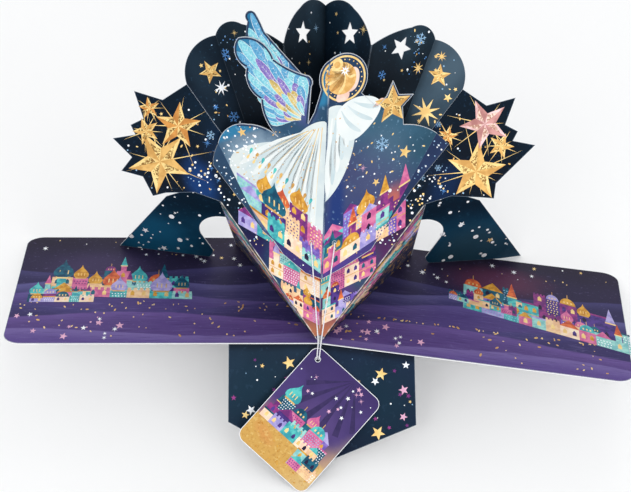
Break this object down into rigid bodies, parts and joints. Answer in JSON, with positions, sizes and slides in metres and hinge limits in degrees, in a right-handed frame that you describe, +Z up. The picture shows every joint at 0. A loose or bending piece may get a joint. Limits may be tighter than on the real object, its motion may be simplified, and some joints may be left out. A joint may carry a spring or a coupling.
{
  "type": "pop-up christmas card",
  "caption": "Standing pop-up christmas card: sloping covers, folded cone with star arms, accordion fan, angel panel, rear legs, folded foot and a message tag on a thread.",
  "frame": {"origin": "centre of the bounding box at table height; the crest where all pop-up folds meet is at (-7.578, -34.612, 53.755) mm", "axes": "+X towards the right cover, +Y from the viewer towards the rear edges of the covers, +Z up from the table"},
  "size_m": [0.4288, 0.226, 0.2413],
  "materials": {
    "cover_card": "printed card, satin",
    "navy_card": "printed card, satin",
    "cone_card": "printed card, satin",
    "panel_card": "printed card, satin",
    "tag_card": "printed card, satin",
    "elastic": "covered elastic"
  },
  "bodies": {
    "root": {"left_cover": "cover_card", "right_cover": "cover_card", "base_foot": "navy_card", "cone_body": "cone_card", "star_fan": "navy_card", "angel_panel": "panel_card", "far_wing": "panel_card", "rear_support": "navy_card", "message_tag": "tag_card", "elastic_thread": "elastic"}
  },
  "joints": []
}
